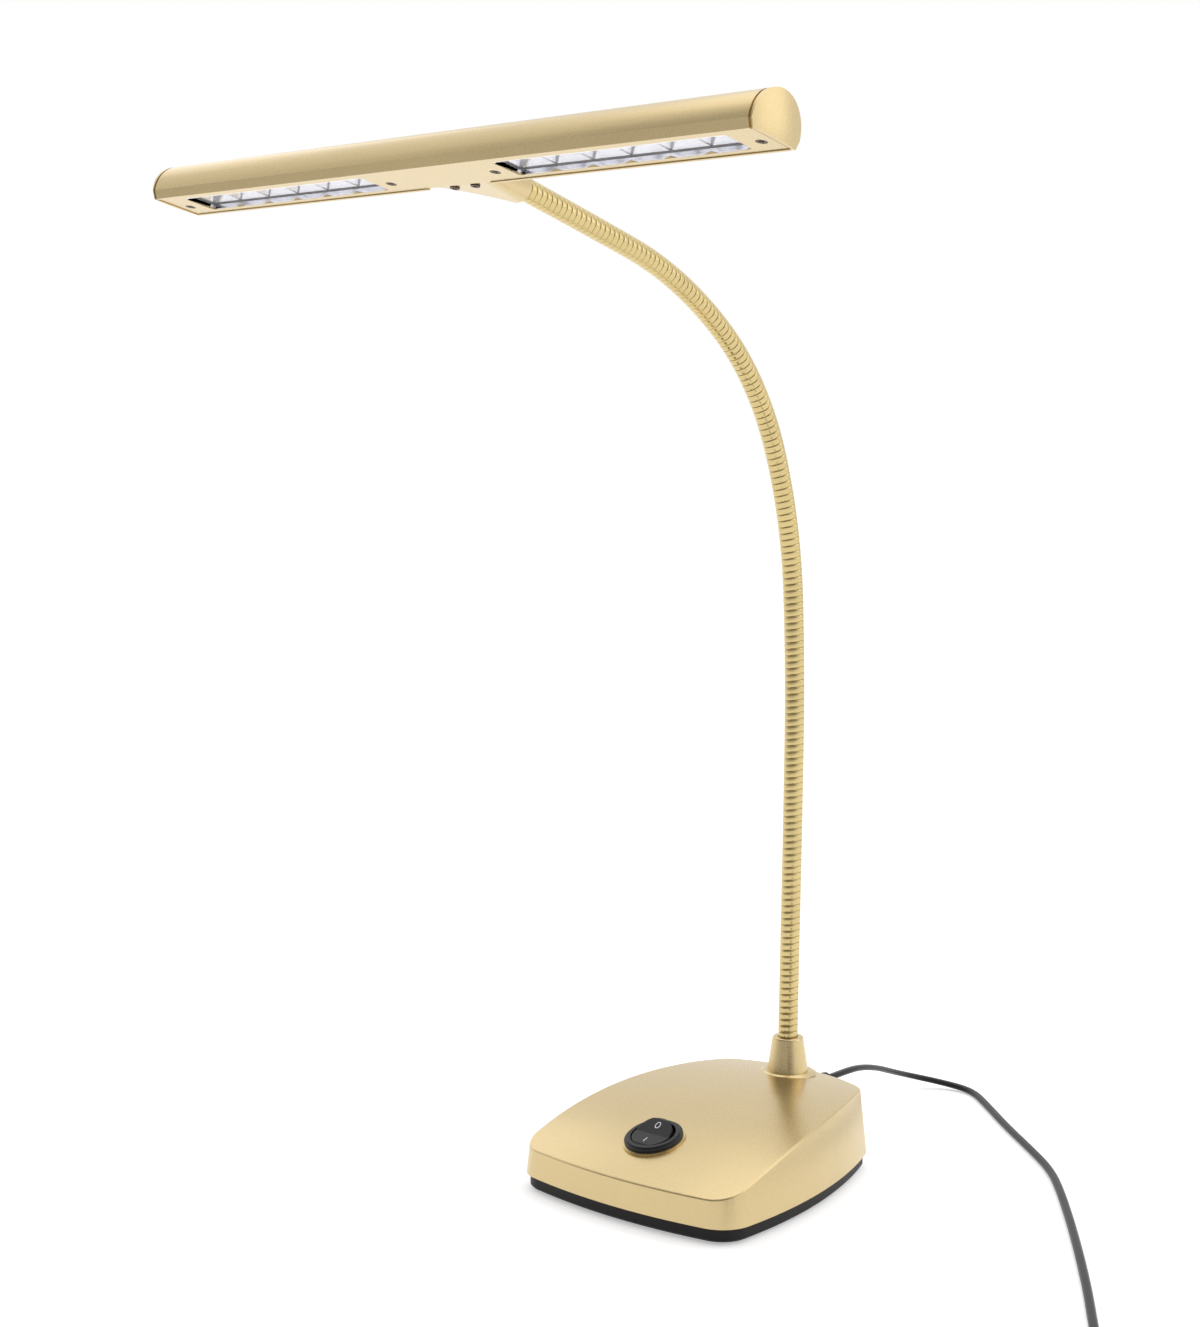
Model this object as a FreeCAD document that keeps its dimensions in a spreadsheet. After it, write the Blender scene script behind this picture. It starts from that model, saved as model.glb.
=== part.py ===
"""Piano lamp: a long light bar on a gooseneck over a tapered base, with a round rocker switch.

Frame: +Z up, origin on the standing surface under the middle of the base, the switch towards -Y,
the neck and the lead towards +Y, the light bar along X. Millimetres and degrees.
"""
import FreeCAD, Part
import math
import os
from FreeCAD import Placement, Rotation, Vector

os.makedirs("parts", exist_ok=True)
doc = FreeCAD.newDocument("PianoLamp")
sheet = doc.addObject("Spreadsheet::Sheet", "Sizes")

# Driving dimensions: name, value, what it is
SIZES = [
    ("baseLength", 127.8, "base, front to back"),
    ("baseFrontHalf", 42.5, "half chord of the front edge of the plan"),
    ("baseFrontRadius", 229, "bulge of the front edge"),
    ("baseSideRadius", 219, "bulge of the sides"),
    ("baseSideTurn", 26, "angle that each side arc turns"),
    ("baseTaper", 8.8, "how far the sides lean in towards the back"),
    ("baseFrontCorner", 13.5, "front corner radius"),
    ("baseBackCorner", 14.8, "back corner radius"),
    ("baseBackTurn", 23, "half angle of the back arc"),
    ("wallDraft", 6, "draft of the cover walls"),
    ("coverWall", 2.2, "wall of the base cover"),
    ("coverBottom", 6.4, "height of the cover's lower edge"),
    ("topRadius", 242.7, "front to back radius of the top"),
    ("topCrown", 600, "side to side radius of the top"),
    ("topCentreY", 26.7, "crest of the top, from the middle"),
    ("topHeight", 34.2, "height of the crest"),
    ("creaseFillet", 0.9, "rounding of the crease round the top"),
    ("feetHeight", 1.0, "height of the rubber feet"),
    ("feetRadius", 6, "radius of a foot"),
    ("plateFloor", 2, "floor of the base plate"),
    ("plateInset", 1.5, "how far the base plate stands back"),
    ("plateLip", 2.5, "height of the lip inside the cover"),
    ("weightThick", 6, "steel ballast thickness"),
    ("weightInset", 10, "gap from the plan outline to the ballast"),
    ("screwBossRadius", 3.5, "screw posts in the cover"),
    ("screwFrontX", 35, "front screw posts from the middle"),
    ("screwFrontY", 42, "front screw posts, forward"),
    ("screwBackX", 25, "back screw posts from the middle"),
    ("screwBackY", 41, "back screw posts, rearward"),
    ("switchY", 37.5, "switch centre, forward of the middle"),
    ("bezelRadius", 11.5, "switch bezel"),
    ("bezelThick", 1.8, "switch bezel height"),
    ("switchHole", 20.2, "panel hole for the switch"),
    ("switchDepth", 12.5, "switch housing below the panel"),
    ("rockerRadius", 8.0, "rocker disc"),
    ("rockerRoom", 0.9, "gap round the rocker"),
    ("rockerTilt", 11, "rocker angle each way from level"),
    ("neckY", 48.5, "neck axis, behind the middle"),
    ("neckRadius", 4.06, "gooseneck outer radius"),
    ("grooveRadius", 3.72, "gooseneck radius in its grooves"),
    ("neckBore", 2.5, "gooseneck bore radius"),
    ("ribPitch", 2.64, "distance from rib to rib"),
    ("neckLean", 1.2, "backward lean of the neck at the collar"),
    ("neckStretch", 60.2, "length of one stretch of the neck"),
    ("ballRadius", 3.9, "ball end of a stretch"),
    ("ballRoom", 0.3, "clearance between ball and cup"),
    ("collarHeight", 14.0, "collar above the base"),
    ("collarBottom", 8.4, "collar radius at the foot"),
    ("collarTop", 6.3, "collar radius at the top"),
    ("footRadius", 9.7, "round seat under the collar"),
    ("footRise", 1.2, "seat above the top of the base"),
    ("ferruleWall", 1.15, "wall of the threaded ferrule"),
    ("ferruleDrop", 13.8, "ferrule below the seat"),
    ("seatThick", 5, "thickness of the seat under the collar"),
    ("washerThick", 1, "washer under the seat"),
    ("nutRadius", 8.4, "nut, corner radius"),
    ("nutThick", 3.6, "nut"),
    ("cableRadius", 1.75, "cable in the neck"),
    ("cableEnd", 3, "cable beyond each end of the neck"),
    ("lugReach", 20, "neck inside the lug of the light bar"),
    ("headTilt", 12, "tilt of the light bar"),
    ("headRadius", 11.8, "domed section of the light bar"),
    ("headRise", 3.0, "height of the crease over the underside"),
    ("headLip", 10.5, "half width of the flat underside"),
    ("headWall", 1.3, "wall of the bar"),
    ("headHalf", 136.6, "half length of the bar without its ends"),
    ("headCover", 9.3, "half width of the underside cover"),
    ("headCoverThick", 1.6, "thickness of the underside cover"),
    ("windowStart", 30.6, "window, from the middle of the bar"),
    ("cellPitch", 15.75, "distance between two reflector cells"),
    ("windowHalf", 6.7, "half width of a window"),
    ("lensThick", 0.9, "clear lens"),
    ("reflectorHeight", 4.9, "reflector block"),
    ("boardThick", 1.2, "circuit board"),
    ("capThick", 3.1, "end cap at the top of its dome"),
    ("capGroove", 0.9, "shadow groove under the end cap"),
    ("capDome", 50, "radius of the domed end cap"),
    ("coverScrewOuter", 132.0, "outer cover screws from the middle"),
    ("coverScrewInner", 24.4, "inner cover screws from the middle"),
    ("coverScrewY", 1.6, "row of cover screws behind the middle of the bar"),
    ("neckEndY", 38.7, "end of the seen neck behind the bar's middle"),
    ("neckEndZ", 8.7, "end of the seen neck over the underside"),
    ("lugHalf", 14.5, "half width of the neck lug at the bar"),
    ("lugEnd", 5.7, "radius of the neck lug at its tip"),
    ("cordWidth", 3.4, "lead"),
    ("exitHeight", 24.5, "lead's exit from the back wall"),
    ("reliefLength", 14, "strain relief outside the wall"),
    ("coilInner", 15.5, "inner radius of the coil's centre line"),
    ("coilPitch", 4.5, "step from turn to turn in a layer"),
    ("coilStep", 3.95, "step from layer to layer"),
    ("coilTurns", 2.375, "spiral turns in a layer"),
    ("adapterLength", 62, "plug-in supply"),
    ("adapterWidth", 34, "plug-in supply"),
    ("adapterHeight", 30, "plug-in supply"),
]
BENDS = [-0.2, 0.6, 4.2, 17.9, 31.4, 20.8, 0.8]    # bend of each stretch of the neck, in degrees
CELLS = 6                                          # reflector cells on each side
CORD_ROUTE = [                                     # hand-chosen points of the lead, on to the coil
    (0, 88, 24.7), (-1.8, 103, 23.4), (-5, 121, 18.8), (-8.6, 139.5, 12.2), (-9.2, 156.5, 6.4),
    (0.9, 167.2, 2.8), (15.4, 168, 1.7), (31.5, 153.6, 1.7), (54, 132.5, 1.7), (76, 113.5, 1.7),
    (96, 95.5, 1.7), (110.5, 77.5, 1.7), (131, 49, 1.7), (151, 20, 1.7), (171, -10, 1.7),
    (188, -37, 1.7), (203, -60, 1.7), (214, -82, 1.7),
]
COIL_CENTRE = (246.2, -104.0)                      # middle of the coil on the surface
COIL_LAYERS = 4

for row, (alias, value, note) in enumerate(SIZES, start=1):
    sheet.set("A%d" % row, alias)
    sheet.set("B%d" % row, str(value))
    sheet.set("C%d" % row, note)
    sheet.setAlias("B%d" % row, alias)
doc.recompute()
nodes = []
X, Y, Z = Vector(1, 0, 0), Vector(0, 1, 0), Vector(0, 0, 1)


def get(alias):
    return float(sheet.get(alias))


def bind(obj, **expressions):
    """Bind properties to the sheet: every sheet name in the text gets its prefix."""
    for prop, text in expressions.items():
        if text == "0":
            continue
        words = sorted((name for name, _, _ in SIZES), key=len, reverse=True)
        for word in words:
            text = text.replace(word, "<<Sizes>>.@" + word)
        obj.setExpression(prop.replace("_", "."), text.replace("@", ""))
    return obj


def placed(obj, x=0, y=0, z=0, axis=Z, angle=0):
    obj.Placement = Placement(Vector(x, y, z), Rotation(axis, angle))
    return obj


def box(name, length, width, height, x="0", y="0", z="0"):
    """A box centred on x and y, standing on z."""
    obj = doc.addObject("Part::Box", name)
    bind(obj, Length=length, Width=width, Height=height)
    bind(obj, Placement_Base_x="%s - (%s) / 2" % (x, length),
         Placement_Base_y="%s - (%s) / 2" % (y, width), Placement_Base_z=z)
    return obj


def cylinder(name, radius, height, x="0", y="0", z="0"):
    obj = doc.addObject("Part::Cylinder", name)
    bind(obj, Radius=radius, Height=height)
    return bind(obj, Placement_Base_x=x, Placement_Base_y=y, Placement_Base_z=z)


def cone(name, low, high, height, x="0", y="0", z="0"):
    obj = doc.addObject("Part::Cone", name)
    bind(obj, Radius1=low, Radius2=high, Height=height)
    return bind(obj, Placement_Base_x=x, Placement_Base_y=y, Placement_Base_z=z)


def turned(obj, axis, angle):
    obj.Placement = Placement(obj.Placement.Base, Rotation(axis, angle))
    return obj


def cut(name, base, *tools):
    for index, tool in enumerate(tools):
        obj = doc.addObject("Part::Cut", name if index == len(tools) - 1 else name + "_step")
        obj.Base, obj.Tool = base, tool
        base = obj
    return base


def fuse(name, *shapes):
    obj = doc.addObject("Part::MultiFuse", name)
    obj.Shapes = list(shapes)
    return obj


def common(name, *shapes):
    obj = doc.addObject("Part::MultiCommon", name)
    obj.Shapes = list(shapes)
    return obj


def group(name, *shapes):
    """Identical loose pieces that share one node."""
    obj = doc.addObject("Part::Compound", name)
    obj.Links = list(shapes)
    return obj


def feature(name, shape, placement=None):
    obj = doc.addObject("Part::Feature", name)
    obj.Shape = shape
    if placement:
        obj.Placement = placement
    return obj


def node(name, obj, placement=None):
    obj.Label = name
    if placement:
        obj.Placement = placement
    nodes.append(obj)
    return obj


def body(name, outline, start, thick, placement=None, pocket=None):
    """A PartDesign body: one padded sketch, and one pocketed sketch if given."""
    result = doc.addObject("PartDesign::Body", name)
    plane = [f for f in result.Origin.OriginFeatures if f.Role == "XY_Plane"][0]

    def sketch(label, edges, offset):
        flat = result.newObject("Sketcher::SketchObject", label)
        flat.AttachmentSupport = [(plane, "")]
        flat.MapMode = "FlatFace"
        flat.AttachmentOffset = Placement(Vector(0, 0, 0), Rotation())
        bind(flat, AttachmentOffset_Base_z=offset)
        for edge in edges:
            flat.addGeometry(edge, False)
        return flat

    pad = result.newObject("PartDesign::Pad", name + "_pad")
    pad.Profile = sketch(name + "_outline", outline, start)
    bind(pad, Length=thick)
    if pocket:
        edges, depth = pocket
        hole = result.newObject("PartDesign::Pocket", name + "_pocket")
        hole.Profile = sketch(name + "_hole", edges, start)
        bind(hole, Length=depth)
        hole.Reversed = True
        result.Tip = hole
    doc.recompute()
    return node(name, result, placement)


def circleEdge(x, y, radius):
    return Part.Circle(Vector(x, y, 0), Z, radius)


def rectangle(x0, y0, x1, y1):
    corners = [Vector(x0, y0, 0), Vector(x1, y0, 0), Vector(x1, y1, 0), Vector(x0, y1, 0)]
    return [Part.LineSegment(corners[k], corners[(k + 1) % 4]) for k in range(4)]


# Base plan: a front arc, tapered side arcs and a back arc, joined by corner arcs

def planOutline(inset):
    """Arcs of the plan, moved in by inset: the right half from the front, then its mirror."""
    rad = math.radians
    frontHalf, frontR = get("baseFrontHalf"), get("baseFrontRadius")
    frontTurn = math.degrees(math.asin(frontHalf / frontR))
    sideTurn, backTurn, taper = get("baseSideTurn"), get("baseBackTurn"), get("baseTaper")
    turns = [(frontR, frontTurn),
             (get("baseFrontCorner"), 90 + taper - sideTurn / 2 - frontTurn),
             (get("baseSideRadius"), sideTurn),
             (get("baseBackCorner"), 90 - taper - sideTurn / 2 - backTurn)]
    points, heading = [Vector(0, 0, 0)], 0.0
    arcs = []

    def advance(point, angle, radius, turn):
        a, b = rad(angle), rad(angle + turn)
        return point + Vector(radius * (math.sin(b) - math.sin(a)),
                              -radius * (math.cos(b) - math.cos(a)), 0)

    def inward(point, angle):
        return point + Vector(-math.sin(rad(angle)), math.cos(rad(angle)), 0) * inset

    for radius, turn in turns:
        start = points[-1]
        middle, end = advance(start, heading, radius, turn / 2), advance(start, heading, radius, turn)
        arcs.append([inward(start, heading), inward(middle, heading + turn / 2),
                     inward(end, heading + turn)])
        points.append(end)
        heading += turn
    backR = points[-1].x / math.sin(rad(backTurn))
    last = points[-1]
    crest = advance(last, heading, backR, backTurn)
    length = crest.y
    arcs.append([inward(last, heading), inward(advance(last, heading, backR, backTurn / 2),
                                               heading + backTurn / 2), inward(crest, 180)])
    stretch = get("baseLength") / length
    shift = get("baseLength") / 2

    def settle(point):
        return Vector(point.x, point.y * stretch - shift, 0)

    right = [[settle(p) for p in arc] for arc in arcs]
    left = [[Vector(-p.x, p.y, 0) for p in reversed(arc)] for arc in reversed(right)]
    return [Part.Arc(*arc) for arc in right + left]


def planWire(inset, height):
    wire = Part.Wire([arc.toShape() for arc in planOutline(inset)])
    wire.translate(Vector(0, 0, height))
    return wire


def planPrism(low, high, insetLow, insetHigh):
    return Part.makeLoft([planWire(insetLow, low), planWire(insetHigh, high)], True, True)


def topBarrel(drop):
    """The solid under the crowned top, lowered by drop."""
    radius, crown, half = get("topRadius") - drop, get("topCrown"), get("baseFrontHalf") * 2
    centre = Vector(0, get("topCentreY"), get("topHeight") - get("topRadius"))
    sag = crown - math.sqrt(crown ** 2 - half ** 2)
    left, right = centre + Vector(-half, 0, radius - sag), centre + Vector(half, 0, radius - sag)
    profile = Part.Wire([Part.Arc(left, centre + Vector(0, 0, radius), right).toShape(),
                         Part.LineSegment(right, centre + X * half).toShape(),
                         Part.LineSegment(centre + X * half, centre - X * half).toShape(),
                         Part.LineSegment(centre - X * half, left).toShape()])
    return Part.Face(profile).revolve(centre, X, 360)


def topZ(y):
    """Height of the top on the middle line."""
    radius = get("topRadius")
    return get("topHeight") - radius + math.sqrt(radius ** 2 - (y - get("topCentreY")) ** 2)


draft = math.tan(math.radians(get("wallDraft")))
coverLow, coverHigh = get("coverBottom"), get("topHeight") + 4
wall = get("coverWall")
shell = planPrism(coverLow, coverHigh, 0, (coverHigh - coverLow) * draft).common(topBarrel(0))
creases = [e for e in shell.Edges if e.BoundBox.ZMin > coverLow + 2
           and len(e.Vertexes) == 2 and e.Length > 8
           and not (e.BoundBox.ZLength > 3 and abs(e.BoundBox.ZMin - coverLow) < 3)]
topEdges = [e for e in creases if max(abs(f.normalAt(0, 0).z) for f in
            shell.ancestorsOfType(e, Part.Face)) > 0.7]
shell = shell.makeFillet(get("creaseFillet"), topEdges)
hollow = planPrism(coverLow - 1, coverHigh, wall, wall + (coverHigh - coverLow) * draft)
hollow = hollow.common(topBarrel(wall))

switchY = -get("switchY")
switchLean = math.degrees(math.asin((get("topCentreY") - switchY) / get("topRadius")))
switchPlace = Placement(Vector(0, switchY, topZ(switchY)), Rotation(X, switchLean))
neckY, footTop = get("neckY"), topZ(get("neckY")) + get("footRise")
screwSpots = [(s * get("screwFrontX"), -get("screwFrontY")) for s in (1, -1)]
screwSpots += [(s * get("screwBackX"), get("screwBackY")) for s in (1, -1)]
plateTop = get("feetHeight") + get("plateFloor")
exitZ = get("exitHeight")


def rod(radius, length, x, y, z, direction=Z):
    return Part.makeCylinder(radius, length, Vector(x, y, z), direction)


def swept(shape, placement):
    copy = shape.copy()
    copy.Placement = placement.multiply(copy.Placement)
    return copy


def makeCover():
    seat = swept(rod(get("bezelRadius") + 0.9, 6, 0, 0, -5.4), switchPlace)
    foot = rod(get("footRadius"), get("seatThick"), 0, neckY, footTop - get("seatThick"))
    foot = foot.fuse(Part.makeCone(get("footRadius") + 2.2, get("footRadius"), get("footRise"),
                                   Vector(0, neckY, footTop - get("footRise"))))
    solid = shell.cut(hollow)
    posts = [rod(get("screwBossRadius"), topZ(0) - plateTop - get("weightThick"), x, y,
                 plateTop + get("weightThick") + 0.4) for x, y in screwSpots]
    posts = [post.common(shell) for post in posts]
    solid = solid.fuse([seat, foot] + posts).removeSplitter()
    bores = [rod(1.1, 9, x, y, plateTop + get("weightThick")) for x, y in screwSpots]
    bores.append(swept(rod(get("switchHole") / 2, 30, 0, 0, -15), switchPlace))
    bores.append(rod(get("neckRadius") + get("ferruleWall") + 0.1, 30, 0, neckY, footTop - 15))
    bores.append(rod(get("cordWidth") / 2 + 1.35, 20, 0, get("baseLength") / 2 - 12, exitZ, Y))
    return solid.cut(bores)


node("base_cover", feature("BaseCover", makeCover()))


def makePlate():
    low, floor, lip = get("feetHeight"), plateTop, coverLow + get("plateLip")
    inset = get("plateInset")
    tray = planPrism(low, low + 0.8, inset + 0.8, inset).fuse(
        planPrism(low + 0.8, coverLow - 0.1, inset, inset))
    inner = wall + 0.3 + (lip - coverLow) * draft
    tray = tray.fuse(planPrism(coverLow - 0.1, lip, inner, inner)).removeSplitter()
    tray = tray.cut(planPrism(floor, lip + 1, inner + 2, inner + 2))
    tray = tray.cut([rod(1.6, 20, x, y, 0) for x, y in screwSpots]
                    + [rod(3.2, low + 1.1, x, y, 0) for x, y in screwSpots])
    return tray


node("base_plate", feature("BasePlate", makePlate()))
weight = planPrism(plateTop, plateTop + get("weightThick"), get("weightInset"), get("weightInset"))
weight = weight.cut([rod(get("screwBossRadius") + 1, 20, x, y, 0) for x, y in screwSpots]
                    + [rod(get("switchHole") / 2 + 1.5, 20, 0, switchY, 0)])
node("base_weight", feature("BaseWeight", weight))
weightTop = plateTop + get("weightThick")

feet = [cylinder("Foot%d" % k, "feetRadius", "feetHeight", str(x), str(y))
        for k, (x, y) in enumerate([(34, -45), (-34, -45), (24, 45), (-24, 45), (0, 0)])]
for foot, (sx, sy) in zip(feet, [(1, -1), (-1, -1), (1, 1), (-1, 1)]):
    side, depth = ("screwFrontX", "screwFrontY") if sy < 0 else ("screwBackX", "screwBackY")
    bind(foot, Placement_Base_x="%d * (%s - 9)" % (sx, side), Placement_Base_y="%d * %s" % (sy, depth))
node("rubber_feet", group("RubberFeet", *feet))


def screw(headRadius, headHeight, radius, length, slot=0.7):
    """A pan head screw pointing up, the head's top face at z = 0."""
    shape = rod(headRadius, headHeight, 0, 0, 0).fuse(rod(radius, length, 0, 0, headHeight))
    cross = Part.makeBox(headRadius * 1.2, slot, 0.8, Vector(-headRadius * 0.6, -slot / 2, 0))
    return shape.cut([cross, swept(cross, Placement(Vector(), Rotation(Z, 90)))])


baseScrew = screw(2.8, 1.1, 1.05, plateTop + get("weightThick") + 5)
node("base_screws", feature("BaseScrews", Part.makeCompound(
    [swept(baseScrew, Placement(Vector(x, y, get("feetHeight")), Rotation())) for x, y in screwSpots])))

# Switch: housing with a stepped bezel, rocker on its pins, terminals


def makeSwitchHousing():
    bezel, thick = get("bezelRadius"), get("bezelThick")
    room = get("rockerRadius") + get("rockerRoom")
    flange = rod(bezel, thick * 0.55, 0, 0, 0.6).fuse(rod(bezel - 1.0, thick, 0, 0, 0.6))
    flange = flange.makeFillet(0.3, [e for e in flange.Edges if e.BoundBox.ZLength < 0.01
                                     and e.BoundBox.ZMin > 1])
    barrel = rod(get("switchHole") / 2 - 0.1, get("switchDepth") + 0.8, 0, 0, -get("switchDepth"))
    shape = flange.fuse(barrel)
    shape = shape.cut(rod(room, get("bezelThick") + 8, 0, 0, -6))
    return shape.cut(rod(1.1, room * 2 + 1.6, -room - 0.8, 0, 0, X))


def makeRocker():
    """A disc with two flats that meet over the pins, level, about the pins' axis."""
    radius, tilt = get("rockerRadius"), math.radians(get("rockerTilt"))
    top = get("bezelThick") + 1.0
    rise = radius * math.tan(tilt)
    reach = radius + 1
    outline = [(-reach, -3.4), (reach, -3.4), (reach, top + rise - 1.2), (radius * 0.86, top + rise - 0.6),
               (0, top - 0.3), (-radius * 0.86, top + rise - 0.6), (-reach, top + rise - 1.2)]
    corners = [Vector(-reach, y, z) for y, z in outline]
    profile = Part.Face(Part.makePolygon(corners + corners[:1])).extrude(X * reach * 2)
    disc = rod(radius, 20, 0, 0, -8).common(profile)
    pins = rod(0.95, (radius + get("rockerRoom")) * 2 + 1.2,
               -radius - get("rockerRoom") - 0.6, 0, 0, X)
    return disc.fuse(pins)


def makeTerminals():
    low = -get("switchDepth") - 5
    return Part.makeCompound([Part.makeBox(4.6, 0.8, 7, Vector(-2.3, y - 0.4, low)) for y in (-4.5, 4.5)])


housing = makeSwitchHousing().cut(Part.makeCompound(
    [Part.makeBox(4.8, 1.0, 3, Vector(-2.4, y - 0.5, -get("switchDepth") - 0.5)) for y in (-4.5, 4.5)]))
node("switch_housing", feature("SwitchHousing", housing, switchPlace))
rockerPlace = switchPlace.multiply(Placement(Vector(), Rotation(X, get("rockerTilt"))))
node("switch_rocker", feature("SwitchRocker", makeRocker(), rockerPlace))
node("switch_terminals", feature("SwitchTerminals", makeTerminals(), switchPlace))

# Collar, ferrule, washer and nut that clamp the neck in the base

ferruleR = get("neckRadius") + get("ferruleWall")
seatTop = "topHeight - topRadius + sqrt(topRadius ^ 2 - (neckY - topCentreY) ^ 2) + footRise"
collar = cone("CollarCone", "collarBottom", "collarTop", "collarHeight", y="neckY", z=seatTop)
collarBore = cylinder("CollarBore", "neckRadius + ferruleWall + 0.1", "collarHeight - 2", y="neckY",
                      z=seatTop)
collarMouth = cylinder("CollarMouth", "neckRadius + 0.15", "collarHeight + 1", y="neckY", z=seatTop)
doc.recompute()
collarRound = doc.addObject("Part::Fillet", "CollarRound")
collarRound.Base = collar
topEdge = [k + 1 for k, e in enumerate(collar.Shape.Edges)
           if e.BoundBox.ZMin > footTop + get("collarHeight") - 0.01][0]
collarRound.Edges = [(topEdge, 0.9, 0.9)]
node("neck_collar", cut("NeckCollar", collarRound, collarBore, collarMouth))
ferruleLow = footTop - get("ferruleDrop")
node("neck_ferrule", cut("NeckFerrule",
     cylinder("FerruleTube", "neckRadius + ferruleWall", "ferruleDrop + collarHeight - 2.2", y="neckY",
              z=seatTop + " - ferruleDrop"),
     cylinder("FerruleBore", "neckRadius + 0.02", "ferruleDrop + collarHeight", y="neckY",
              z=seatTop + " - ferruleDrop - 1")))
node("neck_washer", cut("NeckWasher",
     cylinder("WasherDisc", "footRadius - 0.7", "washerThick", y="neckY",
              z=seatTop + " - seatThick - washerThick"),
     cylinder("WasherBore", "neckRadius + ferruleWall + 0.1", "washerThick + 2", y="neckY",
              z=seatTop + " - seatThick - washerThick - 1")))
hexagon = doc.addObject("Part::Prism", "NutHexagon")
hexagon.Polygon = 6
bind(hexagon, Circumradius="nutRadius", Height="nutThick", Placement_Base_y="neckY",
     Placement_Base_z=seatTop + " - seatThick - washerThick - nutThick")
node("neck_nut", cut("NeckNut", hexagon,
     cylinder("NutBore", "neckRadius + ferruleWall", "nutThick + 2", y="neckY",
              z=seatTop + " - seatThick - washerThick - nutThick - 1")))

# Gooseneck: stretches of ribbed tube with a ball at the top and a cup at the foot


def at(y, z):
    return Vector(0, y, z)


def along(heading):
    return Vector(0, math.cos(heading), math.sin(heading))


class Bend:
    """One stretch of the neck's centre line: a start, a heading and a steady bend."""

    def __init__(self, start, heading, length, turn, foot=None):
        self.start, self.heading, self.length, self.turn = start, heading, length, turn
        self.foot = heading if foot is None else foot

    def spot(self, s):
        """The point and heading s along the stretch, and straight on beyond its ends."""
        if s < 0:
            return self.start + along(self.foot) * s, self.foot
        if s > self.length:
            end, h = self.spot(self.length)
            return end + along(h) * (s - self.length), h
        curve = self.turn / self.length
        h = self.heading + curve * s
        if abs(curve) < 1e-9:
            return self.start + along(self.heading) * s, h
        y = (math.sin(h) - math.sin(self.heading)) / curve
        z = -(math.cos(h) - math.cos(self.heading)) / curve
        return self.start + at(y, z), h


neckTop = footTop + get("collarHeight")
bends = []
spot, heading = at(neckY, neckTop), math.radians(90 - get("neckLean"))
for degrees in BENDS:
    foot = None if bends else math.pi / 2
    bends.append(Bend(spot, heading, get("neckStretch"), math.radians(degrees), foot))
    spot, heading = bends[-1].spot(get("neckStretch"))
neckEnd, endHeading = spot, heading


def ring(bend, s, radius):
    centre, h = bend.spot(s)
    circle = Part.Circle(centre, along(h), radius)
    circle.XAxis = X
    return Part.Wire([circle.toShape()])


def loftAlong(bend, stops):
    """A solid through circles at lengths along a stretch, with straight sides between them."""
    return Part.makeLoft([ring(bend, s, radius) for s, radius in stops], True, True)


def ribStops(first, last):
    """Lengths and radii of the ribs between two lengths: a wide land and a narrow groove each."""
    pitch, land, groove = get("ribPitch"), get("neckRadius"), get("grooveRadius")
    count = int((last - first) / pitch)
    start = (first + last - count * pitch) / 2
    stops = []
    for k in range(count):
        stops += [(start + pitch * (k + f), r) for f, r in
                  ((0.0, land), (0.1, groove), (0.22, groove), (0.32, land))]
    return stops + [(start + pitch * count, land)]


def innerStops(bend, low, high):
    """Lengths for a plain tube: a stop at least every three degrees of its bend."""
    count = 1 + int(abs(math.degrees(bend.turn)) / 3)
    inside = [bend.length * k / count for k in range(1, count)]
    if low < -get("ferruleDrop"):
        inside.insert(0, -1.0)
    return [low] + [s for s in inside if low + 1 < s < high - 1] + [high]


neckStub, lugReach = get("ferruleDrop") + get("collarHeight"), get("lugReach")


def makeStretch(index):
    """Ribbed tube: a cup at its foot and a ball at its top, or plain tube where it is clamped."""
    bend, length, bore, land = bends[index], get("neckStretch"), get("neckBore"), get("neckRadius")
    ball, cup = get("ballRadius"), get("ballRadius") + get("ballRoom")
    foot, tip = index == 0, index == len(bends) - 1
    low, high = (-neckStub if foot else 1.0), (length + lugReach if tip else length - 0.5)
    stops = [(low, land)] + ([(-1.0, land)] if foot else [])
    stops += ribStops(2 * land if foot else 4.6, length - (2 * land if tip else 1.6))
    stops.append((high, land))
    hole = [(s, bore) for s in innerStops(bend, -neckStub - 1 if foot else -5,
                                          length + lugReach + 1 if tip else length - 0.2)]
    if not tip:
        stops += [(length - 0.4, ball * 0.99), (length, ball)]
        stops += [(length + ball * math.sin(a), ball * math.cos(a)) for a in (0.2, 0.41, 0.62)]
        hole.append((length + 5, bore + 0.8))
    solid = loftAlong(bend, stops).cut(loftAlong(bend, hole))
    if not foot:
        solid = solid.cut(Part.makeSphere(cup, bend.start))
    return solid


cableGap = 0.3
for index, bend in enumerate(bends):
    node("neck_stretch_%d" % (index + 1), feature("Stretch%d" % (index + 1), makeStretch(index)))
    low = cableGap if index else -neckStub - get("cableEnd")
    high = bend.length - cableGap if bend is not bends[-1] else bend.length + lugReach + get("cableEnd")
    node("neck_cable_%d" % (index + 1),
         feature("Cable%d" % (index + 1),
                 loftAlong(bend, [(s, get("cableRadius")) for s in innerStops(bend, low, high)])))

# Light bar, in its own frame: x along the bar, y to the rear, z up from its underside

tilt = get("headTilt")
headTurn = Rotation(X, -tilt)
headPlace = Placement(neckEnd - headTurn.multVec(Vector(0, get("neckEndY"), get("neckEndZ"))), headTurn)
toHead = headPlace.inverse()
entryDirection = headTurn.inverted().multVec(along(endHeading))
headR, rise, lip = get("headRadius"), get("headRise"), get("headLip")
half = get("headHalf")


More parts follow.
